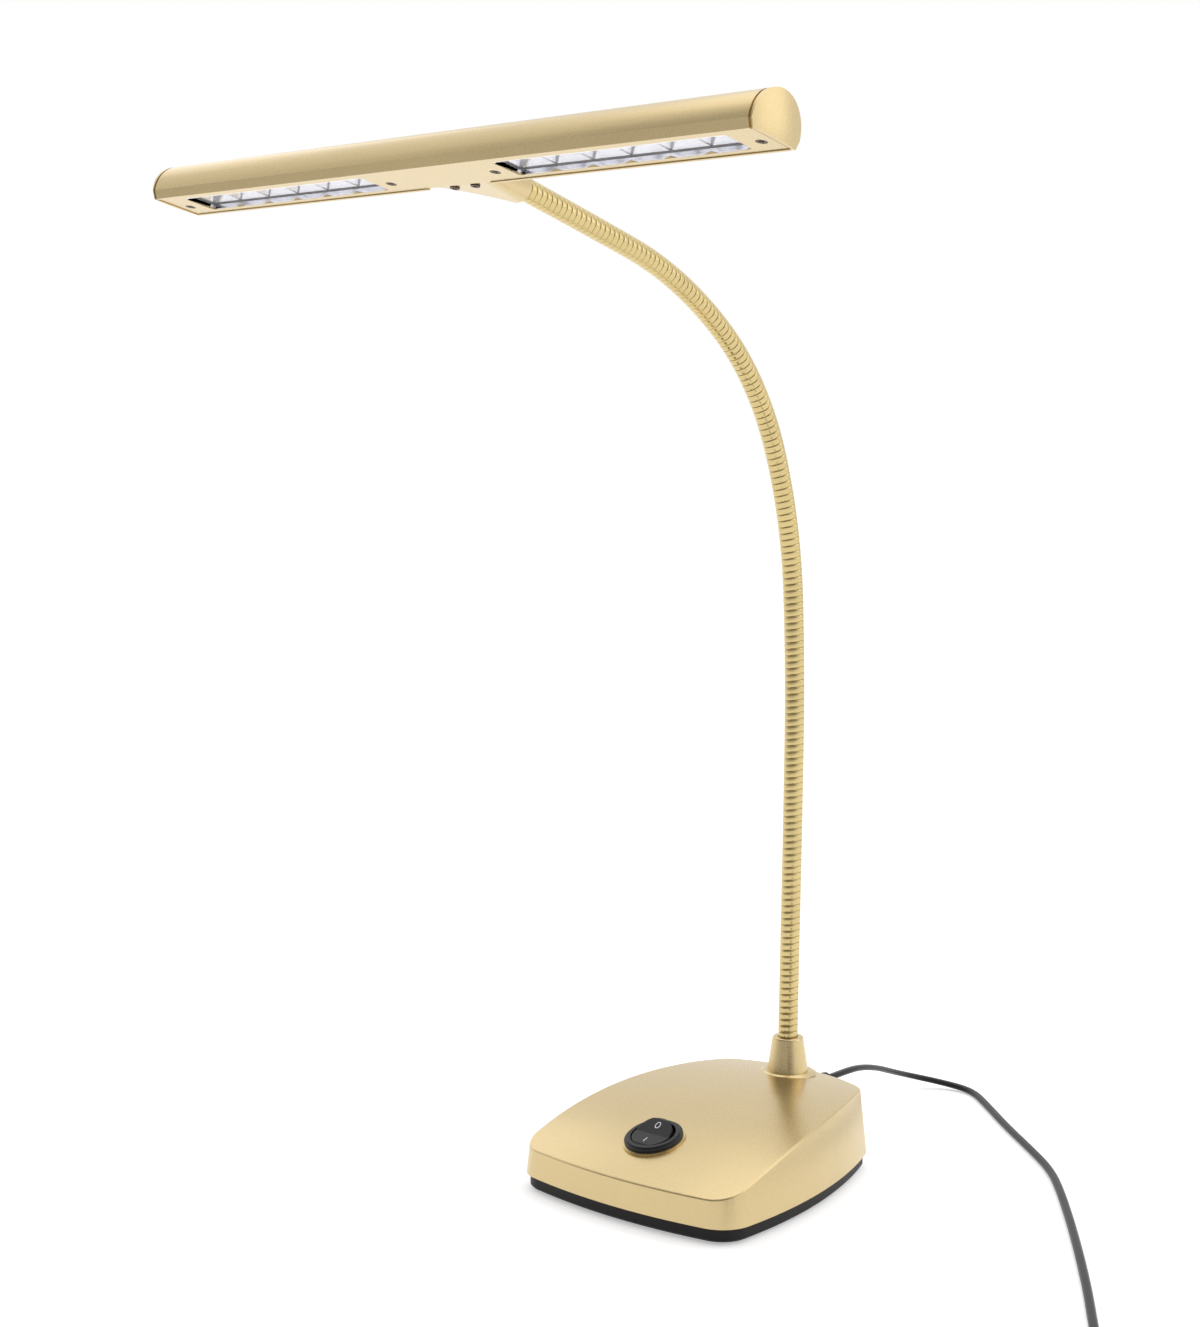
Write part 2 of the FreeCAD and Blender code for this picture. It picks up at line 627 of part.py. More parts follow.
def barOutline(inset, low=0.0):
    """The closed section of the bar, in the YZ plane."""
    r = headR - inset
    edge = lip - inset * 0.7
    points = [Vector(0, r, rise), Vector(0, 0, rise + r), Vector(0, -r, rise),
              Vector(0, -edge, low), Vector(0, edge, low)]
    return Part.Wire([Part.Arc(*points[:3]).toShape(),
                      Part.LineSegment(points[2], points[3]).toShape(),
                      Part.LineSegment(points[3], points[4]).toShape(),
                      Part.LineSegment(points[4], points[0]).toShape()])


def barSolid(inset, x0, x1, low=0.0):
    face = Part.Face(barOutline(inset, low))
    face.translate(X * x0)
    return face.extrude(X * (x1 - x0))


screwRow = get("coverScrewY")
coverScrews = [(s * x, screwRow) for x in (get("coverScrewOuter"), get("coverScrewInner"))
               for s in (1, -1)]
coverSeat = 0.3
coverTop = coverSeat + get("headCoverThick")
gap = 0.15


def centred(x0, x1, halfWidth, z0, z1, y=0.0):
    return Part.makeBox(x1 - x0, 2 * halfWidth, z1 - z0, Vector(x0, y - halfWidth, z0))


def lugSection(y, halfWidth, z0, z1, corner):
    """A rounded rectangle across the neck lug, facing the rear."""
    a, b, r = halfWidth, (z1 - z0) / 2, corner
    mid = (z0 + z1) / 2
    k = r * (1 - math.sqrt(0.5))
    corners = [(a, -b), (a, b), (-a, b), (-a, -b)]
    edges = []
    for i, (cx, cz) in enumerate(corners):
        sx, sz = (1 if cx > 0 else -1), (1 if cz > 0 else -1)
        onSide, onFlat = Vector(cx, y, mid + cz - sz * r), Vector(cx - sx * r, y, mid + cz)
        bulge = Vector(cx - sx * k, y, mid + cz - sz * k)
        order = (onFlat, bulge, onSide) if i % 2 == 0 else (onSide, bulge, onFlat)
        edges.append(order)
    wire = []
    for i, arc in enumerate(edges):
        wire.append(Part.Arc(*arc).toShape())
        wire.append(Part.LineSegment(arc[2], edges[(i + 1) % 4][0]).toShape())
    return Part.Wire(wire)


def makeLug():
    endY, endZ, tip = get("neckEndY"), get("neckEndZ"), get("lugEnd")
    slope = -entryDirection.z / entryDirection.y
    lead = endZ - (endY - 24) * -slope
    sections = [lugSection(7.5, get("lugHalf"), coverSeat, 13.2, 3.0),
                lugSection(22, get("lugHalf") * 0.66, 2.0, lead + tip + 0.4, 3.6),
                lugSection(endY - 0.4, tip, endZ - tip, endZ + tip, tip - 0.3)]
    return Part.makeLoft(sections, True, False)


def makeHeadCover():
    plate = centred(-half, half, get("headCover"), coverSeat, coverTop)
    cover = plate.fuse(makeLug())
    cover = cover.fuse(centred(-get("lugHalf"), get("lugHalf"), 4, coverSeat, 3.4, 5))
    span = CELLS * get("cellPitch")
    for side in (1, -1):
        x0 = get("windowStart") if side > 0 else -get("windowStart") - span
        window = centred(x0, x0 + span, get("windowHalf"), coverSeat - 1, coverTop + 1)
        window = window.makeFillet(1.2, [e for e in window.Edges if e.BoundBox.ZLength > 2])
        cover = cover.cut(window)
    holes = [rod(1.1, 6, x, y, -1) for x, y in coverScrews]
    holes += [rod(1.9, 1.01, x, y, coverSeat - 0.01) for x, y in coverScrews]
    end = Vector(0, get("neckEndY"), get("neckEndZ"))
    bore = Part.makeCylinder(get("neckRadius") + 0.04, 50, end - entryDirection * 6, entryDirection)
    holes.append(bore)
    holes += [rod(0.95, 9, x, y, -1) for x, y in lugScrews]
    holes += [rod(1.75, 1.2, x, y, coverSeat - 0.2) for x, y in lugScrews]
    return cover.cut(holes)


lugScrews = [(-4.8, 12.5), (4.8, 12.5)]


def makeHousing():
    shape = barSolid(0, -half, half)
    cavity = barSolid(get("headWall"), -half - 1, half + 1, coverTop + 0.1)
    slot = centred(-half - 1, half + 1, get("headCover") + gap, -1, coverTop + 0.3)
    posts = [rod(2.5, headR, x, y, coverTop).common(shape) for x, y in coverScrews]
    shape = shape.cut([cavity, slot]).fuse(posts)
    door = centred(-get("lugHalf") - 0.3, get("lugHalf") + 0.3, 7, -1, 13.5, 12.5)
    shape = shape.cut(door)
    return shape.cut([rod(0.85, 6, x, y, coverTop - 1) for x, y in coverScrews])


node("head_housing", feature("HeadHousing", makeHousing(), headPlace))
node("head_cover", feature("HeadCover", makeHeadCover(), headPlace))
lensLow = coverTop
lensTop = lensLow + get("lensThick")
blockTop = lensTop + get("reflectorHeight")
boardTop = blockTop + get("boardThick")
span = CELLS * get("cellPitch")


def cellCentre(side, index):
    return side * (get("windowStart") + get("cellPitch") * (index + 0.5))


def makeReflector(side):
    x0 = get("windowStart") - 1 if side > 0 else -get("windowStart") - span - 1
    block = centred(x0, x0 + span + 2, get("windowHalf") + 0.4, lensTop, blockTop)
    wide, narrow = get("cellPitch") / 2 - 0.5, 2.7
    for index in range(CELLS):
        x = cellCentre(side, index)

        def square(z, sx, sy):
            corners = [Vector(x + sx * a, sy * b, z) for a, b in ((-1, -1), (1, -1), (1, 1), (-1, 1))]
            return Part.makePolygon(corners + corners[:1])

        block = block.cut(Part.makeLoft([square(lensTop - 0.01, wide, get("windowHalf") - 0.3),
                                         square(blockTop + 0.01, narrow, narrow)], True, True))
    return block


for side, word in ((1, "right"), (-1, "left")):
    x0 = get("windowStart") - 1.2 if side > 0 else -get("windowStart") - span - 1.2
    middle = side * (get("windowStart") + span / 2)
    lens = box("Lens_" + word, "%d * cellPitch + 2.4" % CELLS, "windowHalf * 2 + 1.2", "lensThick",
               x="%d * (windowStart + %d * cellPitch / 2)" % (side, CELLS))
    board = box("Board_" + word, "%d * cellPitch + 2" % CELLS, "windowHalf * 2 - 1", "boardThick",
                x="%d * (windowStart + %d * cellPitch / 2)" % (side, CELLS))
    doc.recompute()
    for piece, name, z in ((lens, "lens_", lensLow), (board, "led_board_", blockTop)):
        spotLocal = Placement(Vector(piece.Placement.Base.x, piece.Placement.Base.y, z), Rotation())
        for axisName in ("x", "y", "z"):
            piece.setExpression("Placement.Base." + axisName, None)
        node(name + word, piece, headPlace.multiply(spotLocal))
    node("reflector_" + word, feature("Reflector_" + word, makeReflector(side), headPlace))
    chips = [centred(cellCentre(side, k) - 1.7, cellCentre(side, k) + 1.7, 1.7, blockTop - 0.8, blockTop)
             for k in range(CELLS)]
    node("led_chips_" + word, feature("Chips_" + word, Part.makeCompound(chips), headPlace))


def makeCap(side):
    thick, groove = get("capThick"), get("capGroove")
    rim = barSolid(0, half + groove, half + thick)
    ball = Part.makeSphere(get("capDome"), Vector(half + thick - get("capDome"), 0, rise + headR * 0.45))
    rim = rim.common(ball)
    neckPart = barSolid(groove * 0.8, half, half + groove, 0.4)
    plug = barSolid(get("headWall") + 0.2, half - 1.8, half, coverTop + 0.4)
    cap = rim.fuse([neckPart, plug]).removeSplitter()
    return cap if side > 0 else cap.mirror(Vector(), X)


node("end_cap_right", feature("EndCapRight", makeCap(1), headPlace))
node("end_cap_left", feature("EndCapLeft", makeCap(-1), headPlace))
coverScrew = screw(1.8, 0.9, 0.8, 5.0, 0.5)
node("cover_screws", feature("CoverScrews", Part.makeCompound(
    [swept(coverScrew, Placement(Vector(x, y, coverSeat + 0.1), Rotation())) for x, y in coverScrews]),
    headPlace))
lugScrew = screw(1.65, 0.9, 0.9, 2.6, 0.5)
node("lug_screws", feature("LugScrews", Part.makeCompound(
    [swept(lugScrew, Placement(Vector(x, y, coverSeat + 0.1), Rotation())) for x, y in lugScrews]),
    headPlace))

# Lead: strain relief, free run, coil, tail and plug-in supply


def cornerRadii(points, share=0.45):
    """Straight runs and tangent arcs, each arc as large as its two runs allow."""
    edges, radii, last = [], [], points[0]
    for before, corner, after in zip(points, points[1:], points[2:]):
        a, b = (before - corner), (after - corner)
        short = min(a.Length, b.Length)
        u, v = a.normalize(), b.normalize()
        turn = math.pi - u.getAngle(v)
        tangent = share * short
        radius = tangent / math.tan(turn / 2)
        start, end = corner + u * tangent, corner + v * tangent
        bisector = (u + v).normalize()
        middle = corner + bisector * (radius / math.cos(turn / 2) - radius)
        if (start - last).Length > 1e-4:
            edges.append(Part.LineSegment(last, start).toShape())
        edges.append(Part.Arc(start, middle, end).toShape())
        radii.append(radius)
        last = end
    edges.append(Part.LineSegment(last, points[-1]).toShape())
    return Part.Wire(edges), radii


def tube(points, radius, label):
    path, radii = cornerRadii(points)
    circle = Part.Circle(points[0], points[1] - points[0], radius)
    solid = path.makePipeShell([Part.Wire([circle.toShape()])], True, False)
    ideal = math.pi * radius ** 2 * path.Length
    print("%s: length %.1f mm, least radius %.1f mm, volume %.4f of section times length"
          % (label, path.Length, min(radii), solid.Volume / ideal))
    print("%s radii:" % label, " ".join("%.0f" % r for r in radii))
    return solid


cordR = get("cordWidth") / 2
backWall = get("baseLength") / 2 - (exitZ - coverLow) * draft
reliefEnd = backWall + get("reliefLength")


def makeRelief():
    neckR = cordR + 1.15
    pieces = [Part.makeCone(cordR + 2.4, cordR + 0.9, get("reliefLength") - 0.3,
                            Vector(0, backWall + 0.3, exitZ), Y),
              rod(neckR, wall + 1.2, 0, backWall - wall - 0.6, exitZ, Y),
              rod(cordR + 2.6, 1.6, 0, backWall - wall - 2.2, exitZ, Y)]
    relief = pieces[0].fuse(pieces[1:]).removeSplitter()
    rings = []
    for k in range(4):
        y = backWall + 3.2 + k * 2.6
        outer = rod(cordR + 4, 0.7, 0, y, exitZ, Y)
        rings.append(outer.cut(rod(cordR + 1.9 - k * 0.28, 0.7, 0, y, exitZ, Y)))
    return relief.cut(rings)


node("strain_relief", feature("StrainRelief", makeRelief()))
leadInner = backWall - wall - 2.2
terminal = switchPlace.multVec(Vector(0, 0, -get("switchDepth") - 3.4))
leadR = 1.2
leadZ = weightTop + leadR
supply = tube([Vector(0.2, leadInner - 0.7, exitZ), Vector(7.5, leadInner - 4.1, exitZ - 2.2),
               Vector(14, leadInner - 13, 17.5), Vector(16, leadInner - 26, 12), Vector(14, 12, leadZ),
               Vector(12, -8, leadZ),
               Vector(7, -22, leadZ), Vector(3.7, terminal.y + 4.6, leadZ + 0.4)], leadR, "supply lead")
node("supply_lead", feature("SupplyLead", supply))
feed = tube([Vector(0, neckY, ferruleLow - 3.7), Vector(-2, neckY - 1.5, 13.2),
             Vector(-10, neckY - 9, leadZ + 1),
             Vector(-15, neckY - 24, leadZ), Vector(-14, 6, leadZ), Vector(-12, -10, leadZ),
             Vector(-7, -22, leadZ), Vector(-3.7, terminal.y + 4.6, leadZ + 0.4)], leadR, "neck lead")
node("neck_lead", feature("NeckLead", feed))

coilPitch, coilStep, coilTurns = get("coilPitch"), get("coilStep"), get("coilTurns")
coilOuter = get("coilInner") + coilPitch * coilTurns
centre = Vector(COIL_CENTRE[0], COIL_CENTRE[1], 0)


def coilStations():
    """A point and a tangent every quarter turn, in by one layer and out by the next."""
    quarter = math.pi / 2
    legs = []
    for layer in range(COIL_LAYERS):
        inwards = layer % 2 == 0
        legs.append(("spiral", coilTurns, -1 if inwards else 1, layer))
        if layer < COIL_LAYERS - 1:
            legs.append(("climb", 0.5, 0, layer))
    total = sum(leg[1] for leg in legs)

    def state(turns):
        r = coilOuter
        for kind, span_, sign, layer in legs:
            used = min(turns, span_)
            if kind == "spiral":
                r += sign * coilPitch * used
                z = cordR + layer * coilStep
            else:
                z = cordR + (layer + (1 - math.cos(math.pi * used / span_)) / 2) * coilStep
            if turns <= span_:
                return r, z
            turns -= span_
        return r, z

    count = int(round(total * 8))
    stations = []
    for k in range(count + 1):
        turns = total * k / count
        step = 0.004
        low, high = max(0, turns - step), min(total, turns + step)

        def position(value):
            r, z = state(value)
            angle = math.pi + 2 * math.pi * value
            return centre + Vector(r * math.cos(angle), r * math.sin(angle), z)

        tangent = (position(high) - position(low)).normalize()
        if k in (0, count):
            tangent = Vector(0, -1, 0)
        stations.append((position(turns), tangent))
    return stations, total


def biarc(p0, t0, p1, t1):
    """Two arcs that leave p0 along t0 and reach p1 along t1."""
    chord, both = p1 - p0, t0 + t1
    a, b, c = 2 * (1 - t0.dot(t1)), 2 * chord.dot(both), -chord.dot(chord)
    reach = (-b + math.sqrt(b * b - 4 * a * c)) / (2 * a) if a > 1e-9 else -c / b
    joint = (p0 + p1 + (t0 - t1) * reach) * 0.5

    def arc(start, direction, end):
        flat = end - start
        length = flat.Length
        flat = flat.normalize()
        side = direction - flat * direction.dot(flat)
        angle = math.atan2(side.Length, direction.dot(flat))
        sag = length / 2 * math.tan(angle / 2)
        return Part.Arc(start, (start + end) * 0.5 + side.normalize() * sag, end).toShape()

    back = arc(p1, t1 * -1, joint)
    first = arc(p0, t0, joint)
    middle = back.valueAt((back.FirstParameter + back.LastParameter) / 2)
    return [first, Part.Arc(joint, middle, p1).toShape()]


def leastGap(wire, radius):
    """Least gap of the tube to itself, between points a turn or nearly a turn apart."""
    points = wire.discretize(Distance=1.0)
    near = int(coilOuter * 3)
    best = 1e9
    for i in range(0, len(points), 2):
        for j in range(i + near, len(points)):
            if abs(points[i].z - points[j].z) < best and abs(points[i].x - points[j].x) < best:
                best = min(best, (points[i] - points[j]).Length)
    return best - 2 * radius


stations, coilTotal = coilStations()
coilEdges = []
for (p0, t0), (p1, t1) in zip(stations, stations[1:]):
    coilEdges += biarc(p0, t0, p1, t1)
coilPath = Part.Wire(coilEdges)
coilCircle = Part.Circle(stations[0][0], Vector(0, -1, 0), cordR)
coil = coilPath.makePipeShell([Part.Wire([coilCircle.toShape()])], True, False)
print("coil: %.2f turns, length %.1f mm, outside %.1f mm across, least gap to itself %.2f mm, volume %.4f"
      % (coilTotal, coilPath.Length, 2 * (coilOuter + cordR), leastGap(coilPath, cordR),
         coil.Volume / (math.pi * cordR ** 2 * coilPath.Length)))
coilStart, coilEnd = stations[0][0], stations[-1][0]
route = [Vector(0, reliefEnd, exitZ)] + [Vector(*p) for p in CORD_ROUTE]
route += [coilStart + Vector(0, 8, 0), coilStart]
node("cord", feature("Cord", tube(route, cordR, "cord")))
node("cord_coil", feature("CordCoil", coil))
adapterX = coilEnd.x + 4
adapterFront = coilEnd.y - 46
jackZ = get("adapterHeight") / 2
tailPoints = [coilEnd, coilEnd + Vector(0, -9, -0.2), coilEnd + Vector(1.6, -19, 0),
              Vector(adapterX, adapterFront + 17, jackZ), Vector(adapterX, adapterFront + 9, jackZ)]
node("cord_tail", feature("CordTail", tube(tailPoints, cordR, "cord tail")))
bootCone = Part.makeCone(cordR + 2.4, cordR + 0.8, 9, Vector(adapterX, adapterFront, jackZ), Y)
node("adapter_boot", feature("AdapterBoot", bootCone))


def adapterHalf(upper):
    length, width, height = get("adapterLength"), get("adapterWidth"), get("adapterHeight")
    block = Part.makeBox(width, length, height, Vector(adapterX - width / 2, adapterFront - length, 0))
    block = block.makeFillet(3.0, block.Edges)
    core = Part.makeBox(width - 4, length - 4, height - 4,
                        Vector(adapterX - width / 2 + 2, adapterFront - length + 2, 2))
    split = Part.makeBox(width + 2, length + 2, height,
                         Vector(adapterX - width / 2 - 1, adapterFront - length - 1,
                                height / 2 if upper else -height / 2))
    return block.cut(core).common(split)


node("adapter_top", feature("AdapterTop", adapterHalf(True)))
lower = adapterHalf(False)
pinY = adapterFront - get("adapterLength") + 14
pinRoot = Vector(adapterX - get("adapterWidth") / 2, pinY, get("adapterHeight") / 2 - 4)


def pins():
    made = []
    for offset in (0, 19):
        start = pinRoot + Vector(-17.5, offset, 0)
        made.append(Part.makeCylinder(2.0, 19.3, start, X).fuse(Part.makeSphere(2.0, start)))
    return made


lower = lower.cut([Part.makeCylinder(2.0, 4, pinRoot + Vector(-1, offset, 0), X) for offset in (0, 19)])
node("adapter_bottom", feature("AdapterBottom", lower))
node("adapter_pins", feature("AdapterPins", Part.makeCompound(pins())))

doc.recompute()
problems = []
for obj in doc.Objects:
    if any(word in str(state) for state in obj.State for word in ("Invalid", "Error")):
        problems.append("%s is %s" % (obj.Name, obj.State))
for obj in nodes:
    if obj.Shape.isNull() or not obj.Shape.isValid() or not obj.Shape.Solids:
        problems.append("%s has no valid solid" % obj.Label)
if problems:
    raise SystemExit("\n".join(problems))
for obj in nodes:
    shape = obj.Shape
    shape.exportStep("parts/%s.step" % obj.Label)
    box_ = shape.BoundBox
    print("%-18s %2d solids %9.1f mm3  x %.1f..%.1f y %.1f..%.1f z %.1f..%.1f" % (
        obj.Label, len(shape.Solids), shape.Volume, box_.XMin, box_.XMax, box_.YMin, box_.YMax,
        box_.ZMin, box_.ZMax))
print(len(nodes), "nodes")
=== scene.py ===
import math
import bmesh
import bpy
from mathutils import Matrix, Vector


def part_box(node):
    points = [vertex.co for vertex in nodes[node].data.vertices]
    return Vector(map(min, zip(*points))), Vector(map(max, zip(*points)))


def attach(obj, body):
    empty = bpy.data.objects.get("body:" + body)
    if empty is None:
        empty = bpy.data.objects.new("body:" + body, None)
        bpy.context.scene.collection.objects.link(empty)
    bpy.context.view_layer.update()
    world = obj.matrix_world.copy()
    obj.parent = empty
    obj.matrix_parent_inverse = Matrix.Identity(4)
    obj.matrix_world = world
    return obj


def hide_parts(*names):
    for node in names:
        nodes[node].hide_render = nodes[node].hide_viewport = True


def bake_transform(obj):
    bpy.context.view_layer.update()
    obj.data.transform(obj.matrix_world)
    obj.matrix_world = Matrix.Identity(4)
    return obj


# Piano lamp: gold light bar on a ribbed gooseneck over a low tapered base.
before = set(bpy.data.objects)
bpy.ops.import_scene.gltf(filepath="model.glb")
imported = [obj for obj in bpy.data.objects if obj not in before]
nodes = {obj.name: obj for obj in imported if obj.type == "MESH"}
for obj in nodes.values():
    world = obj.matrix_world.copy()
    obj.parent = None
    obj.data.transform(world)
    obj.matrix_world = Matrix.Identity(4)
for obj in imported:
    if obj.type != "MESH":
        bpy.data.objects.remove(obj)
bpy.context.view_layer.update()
mm = 0.001
print("frame loaded:", len(nodes), "nodes")

# camera, at the photograph's viewpoint
cameraSpec = {"place": (526.7, -670.0, 289.44), "heading": 41.23, "pitch": -5.59, "lens": 59.68,
              "sensor": 36, "near": 0.01, "far": 60}

cameraData = bpy.data.cameras.new("camera")
cameraData.lens = cameraSpec["lens"]
cameraData.sensor_width = cameraSpec["sensor"]
cameraData.clip_start, cameraData.clip_end = cameraSpec["near"], cameraSpec["far"]
camera = bpy.data.objects.new("camera", cameraData)
camera.location = Vector(cameraSpec["place"]) * mm
camera.rotation_euler = (math.radians(90 + cameraSpec["pitch"]), 0, math.radians(cameraSpec["heading"]))
bpy.context.scene.collection.objects.link(camera)
bpy.context.scene.camera = camera


# shader maths on sockets
class Term:
    def __init__(self, finish, socket):
        self.finish, self.socket = finish, socket

    def calc(self, operation, a, b):
        return self.finish.add("ShaderNodeMath", {"operation": operation}, {0: a, 1: b})

    def __add__(self, other):
        return self.calc("ADD", self, other)

    def __radd__(self, other):
        return self.calc("ADD", other, self)

    def __sub__(self, other):
        return self.calc("SUBTRACT", self, other)

    def __rsub__(self, other):
        return self.calc("SUBTRACT", other, self)

    def __mul__(self, other):
        return self.calc("MULTIPLY", self, other)

    def __rmul__(self, other):
        return self.calc("MULTIPLY", other, self)

    def __pow__(self, other):
        return self.calc("POWER", self, other)


class Finish:
    def __init__(self, name, fixed=None):
        self.material = bpy.data.materials.new(name)
        self.material.use_nodes = True
        self.tree = self.material.node_tree
        self.shader = self.tree.nodes["Principled BSDF"]
        for socket, value in (fixed or {}).items():
            self.shader.inputs[socket].default_value = value

    def add(self, kind, settings=None, sockets=None, out=0):
        node = self.tree.nodes.new(kind)
        for key, value in (settings or {}).items():
            setattr(node, key, value)
        for key, value in (sockets or {}).items():
            if isinstance(value, Term):
                self.tree.links.new(value.socket, node.inputs[key])
            else:
                node.inputs[key].default_value = value
        return Term(self, node.outputs[out])

    def put(self, socket, value):
        self.tree.links.new(value.socket, self.shader.inputs[socket])

    def place(self):
        return self.add("ShaderNodeTexCoord", {}, {}, "Object")

    def noise(self, scale, detail=2.0, rough=0.5):
        sockets = {"Vector": self.place(), "Scale": scale, "Detail": detail, "Roughness": rough}
        return self.add("ShaderNodeTexNoise", {}, sockets, "Fac")

    def blend(self, factor, first, second):
        return self.add("ShaderNodeMix", {"data_type": "RGBA"}, {0: factor, 6: first, 7: second}, 2)

    def bump(self, height, strength, distance):
        sockets = {"Height": height, "Strength": strength, "Distance": distance}
        self.put("Normal", self.add("ShaderNodeBump", {}, sockets))


def tone(colour, gain):
    return tuple(min(1.0, c * gain) for c in colour[:3]) + (1.0,)


paintGrain = {"dark": 0.94, "light": 1.05, "flash": 1.5, "cloudRough": 0.05, "flakeRough": 0.10,
              "depth": 0.00004}
metalGrain = {"dark": 0.85, "light": 1.08, "depth": 0.00003}
plasticGrain = {"dark": 0.8, "light": 1.25, "grainRough": 0.12, "dustRough": 0.08}


def shades(colour, grain):
    return tone(colour, grain["dark"]), tone(colour, grain["light"])


def makePaint(name, look):                           # metallic paint: fine flakes in a satin lacquer
    finish = Finish(name, {"Metallic": look["metal"], "Coat Weight": look["coat"],
                           "Coat Roughness": look["coatRough"]})
    cloud = finish.noise(look["cloud"], 3.0)
    flakes = finish.noise(look["flake"], 1.0, 0.7)
    mixed = finish.blend(cloud, *shades(look["colour"], paintGrain))
    flash = tone(look["colour"], paintGrain["flash"])
    finish.put("Base Color", finish.blend(flakes ** 3.0 * look["sparkle"], mixed, flash))
    finish.put("Roughness", (cloud - 0.5) * paintGrain["cloudRough"]
               + (flakes - 0.5) * paintGrain["flakeRough"] + look["rough"])
    finish.bump(flakes, look["grain"], paintGrain["depth"])
    return finish


def makeMetal(name, look):                           # plated or drawn metal with fine lines
    finish = Finish(name, {"Metallic": 1.0})
    lines = finish.noise(look["lines"], 3.0, 0.6)
    stain = finish.noise(look["stain"], 4.0)
    finish.put("Base Color", finish.blend(stain, *shades(look["colour"], metalGrain)))
    finish.put("Roughness", (lines - 0.5) * look["spread"] + look["rough"])
    finish.bump(lines, look["grain"], metalGrain["depth"])
    return finish


def makePlastic(name, look):                         # moulded plastic or rubber with a fine texture
    finish = Finish(name, {"Specular IOR Level": look.get("gloss", 0.5)})
    grain = finish.noise(look["grainSize"], 2.0, 0.6)
    dust = finish.noise(look["dust"], 4.0)
    finish.put("Base Color", finish.blend(dust, *shades(look["colour"], plasticGrain)))
    finish.put("Roughness", (grain - 0.5) * plasticGrain["grainRough"]
               + (dust - 0.5) * plasticGrain["dustRough"] + look["rough"])
    finish.bump(grain, look["grain"], look["depth"])
    return finish


goldLook = {"colour": (0.60, 0.47, 0.25), "metal": 0.96, "rough": 0.27, "coat": 0.10, "coatRough": 0.3,
            "cloud": 22.0, "flake": 5200.0, "sparkle": 0.5, "grain": 0.12}
finishes = {
    "gold": makePaint("champagneGold", goldLook),
    "neck": makeMetal("brassedNeck", {"colour": (0.62, 0.49, 0.23), "rough": 0.18, "spread": 0.08,
                                      "lines": 900.0, "stain": 60.0, "grain": 0.10}),
    # painted shade: the groove finish is the neck's gold darkened to about a third, standing in for the shade
    # inside the groove
    "grooveShade": makeMetal("neckGroovePaintedShade", {"colour": (0.20, 0.15, 0.07), "rough": 0.5, "spread": 0.2,
                                       "lines": 900.0, "stain": 200.0, "grain": 0.3}),
    "black": makePlastic("satinBlackTray", {"colour": (0.006, 0.005, 0.005), "gloss": 0.25, "rough": 0.5,
                                            "dust": 60.0, "grainSize": 2200.0, "grain": 0.25, "depth": 0.00005}),
    "switch": makePlastic("texturedSwitch", {"colour": (0.008, 0.007, 0.008), "gloss": 0.35,
                                             "rough": 0.42, "dust": 300.0, "grainSize": 3600.0,
                                             "grain": 0.6, "depth": 0.00006}),
    "mark": makePlastic("markPrint", {"colour": (0.72, 0.73, 0.76), "rough": 0.5, "dust": 400.0,
                                      "grainSize": 4000.0, "grain": 0.1, "depth": 0.00003}),
    "cord": makePlastic("cordJacket", {"colour": (0.006, 0.006, 0.006), "gloss": 0.3, "rough": 0.34,
                                       "dust": 80.0, "grainSize": 900.0, "grain": 0.12, "depth": 0.00004}),
    "rubber": makePlastic("reliefRubber", {"colour": (0.018, 0.017, 0.017), "rough": 0.55, "dust": 200.0,
                                           "grainSize": 1800.0, "grain": 0.3, "depth": 0.00006}),
    "supply": makePlastic("supplyShell", {"colour": (0.020, 0.020, 0.022), "rough": 0.5, "dust": 90.0,
                                          "grainSize": 2400.0, "grain": 0.5, "depth": 0.00006}),
    "screw": makeMetal("darkScrew", {"colour": (0.10, 0.065, 0.04), "rough": 0.38, "spread": 0.2,
                                     "lines": 3000.0, "stain": 500.0, "grain": 0.2}),
    "steel": makeMetal("plainSteel", {"colour": (0.45, 0.45, 0.46), "rough": 0.38, "spread": 0.2,
                                      "lines": 1500.0, "stain": 120.0, "grain": 0.2}),
    "pins": makeMetal("nickelPins", {"colour": (0.72, 0.70, 0.66), "rough": 0.22, "spread": 0.15,
                                     "lines": 2500.0, "stain": 200.0, "grain": 0.1}),
    "mirror": makeMetal("platedReflector", {"colour": (0.88, 0.88, 0.94), "rough": 0.16, "spread": 0.08,
                                            "lines": 700.0, "stain": 90.0, "grain": 0.05}),
    "board": makePlastic("whiteBoard", {"colour": (0.75, 0.77, 0.76), "rough": 0.45, "dust": 150.0,
                                        "grainSize": 2500.0, "grain": 0.2, "depth": 0.00004}),
    "cable": makePlastic("cableJacket", {"colour": (0.08, 0.08, 0.085), "rough": 0.5, "dust": 120.0,
                                         "grainSize": 1500.0, "grain": 0.2, "depth": 0.00005}),
    "chip": makePlastic("phosphor", {"colour": (0.80, 0.66, 0.22), "rough": 0.35, "dust": 800.0,
                                     "grainSize": 5000.0, "grain": 0.3, "depth": 0.00004}),
}

lensLook = {"colour": (0.93, 0.93, 0.96, 1), "index": 1.49, "gloss": 0.6, "alpha": 0.14, "rough": 0.06,
            "haze": 140.0, "hazeRough": 0.05, "hazeAlpha": 0.06}
lens = Finish("clearLens", {"Base Color": lensLook["colour"], "IOR": lensLook["index"],
                            "Specular IOR Level": lensLook["gloss"]})
haze = lens.noise(lensLook["haze"], 3.0)
lens.put("Roughness", haze * lensLook["hazeRough"] + lensLook["rough"])
lens.put("Alpha", haze * lensLook["hazeAlpha"] + lensLook["alpha"])
finishes["lens"] = lens
print("finishes made:", len(finishes))


def dress(name, finish):
    slots = nodes[name].material_slots
    for item in slots:
        item.material = finishes[finish].material
    if not slots:
        nodes[name].data.materials.append(finishes[finish].material)


